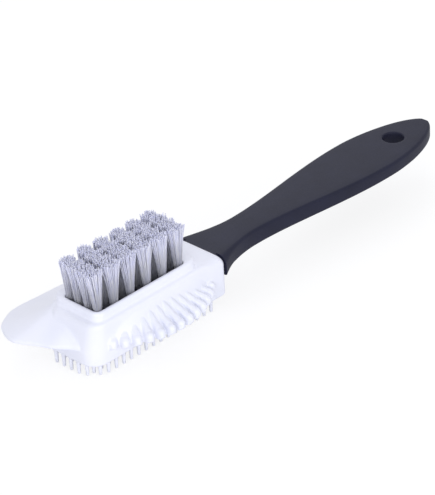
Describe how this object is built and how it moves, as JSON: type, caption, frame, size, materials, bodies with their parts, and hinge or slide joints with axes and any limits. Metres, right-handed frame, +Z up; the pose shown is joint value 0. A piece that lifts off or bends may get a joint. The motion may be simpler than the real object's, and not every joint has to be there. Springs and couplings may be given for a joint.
{
  "type": "shoe brush",
  "caption": "Long-handled shoe and suede brush: nylon bristle tufts in a plastic block inside a white rubber boot with a seam wing, a fan of short ribs and a pinned sole.",
  "frame": {"origin": "centre of the bounding box in plan, on the plane of the pin tips", "axes": "+X from the head towards the hanging hole, +Y towards the seam wing, +Z up along the bristles"},
  "size_m": [0.229, 0.063, 0.0462],
  "materials": {
    "handle_polypropylene": "fine matt moulded texture, dark blue-grey",
    "boot_rubber": "smooth moulded rubber, cool white, soft sheen",
    "bristle_nylon": "drawn nylon filament, translucent lavender grey",
    "anchor_wire": "cut flat wire, bright"
  },
  "bodies": {
    "root": {"handle": "handle_polypropylene", "rubber_boot": "boot_rubber", "tuft_1_1": "bristle_nylon", "tuft_1_2": "bristle_nylon", "tuft_1_3": "bristle_nylon", "tuft_1_4": "bristle_nylon", "tuft_2_1": "bristle_nylon", "tuft_2_2": "bristle_nylon", "tuft_2_3": "bristle_nylon", "tuft_2_4": "bristle_nylon", "tuft_3_1": "bristle_nylon", "tuft_3_2": "bristle_nylon", "tuft_3_3": "bristle_nylon", "tuft_3_4": "bristle_nylon", "tuft_4_1": "bristle_nylon", "tuft_4_2": "bristle_nylon", "tuft_4_3": "bristle_nylon", "tuft_4_4": "bristle_nylon", "tuft_5_1": "bristle_nylon", "tuft_5_2": "bristle_nylon", "tuft_5_3": "bristle_nylon", "tuft_5_4": "bristle_nylon", "tuft_6_1": "bristle_nylon", "tuft_6_2": "bristle_nylon", "tuft_6_3": "bristle_nylon", "tuft_6_4": "bristle_nylon", "tuft_anchor_1_1": "anchor_wire", "tuft_anchor_1_2": "anchor_wire", "tuft_anchor_1_3": "anchor_wire", "tuft_anchor_1_4": "anchor_wire", "tuft_anchor_2_1": "anchor_wire", "tuft_anchor_2_2": "anchor_wire", "tuft_anchor_2_3": "anchor_wire", "tuft_anchor_2_4": "anchor_wire", "tuft_anchor_3_1": "anchor_wire", "tuft_anchor_3_2": "anchor_wire", "tuft_anchor_3_3": "anchor_wire", "tuft_anchor_3_4": "anchor_wire", "tuft_anchor_4_1": "anchor_wire", "tuft_anchor_4_2": "anchor_wire", "tuft_anchor_4_3": "anchor_wire", "tuft_anchor_4_4": "anchor_wire", "tuft_anchor_5_1": "anchor_wire", "tuft_anchor_5_2": "anchor_wire", "tuft_anchor_5_3": "anchor_wire", "tuft_anchor_5_4": "anchor_wire", "tuft_anchor_6_1": "anchor_wire", "tuft_anchor_6_2": "anchor_wire", "tuft_anchor_6_3": "anchor_wire", "tuft_anchor_6_4": "anchor_wire"}
  },
  "joints": []
}
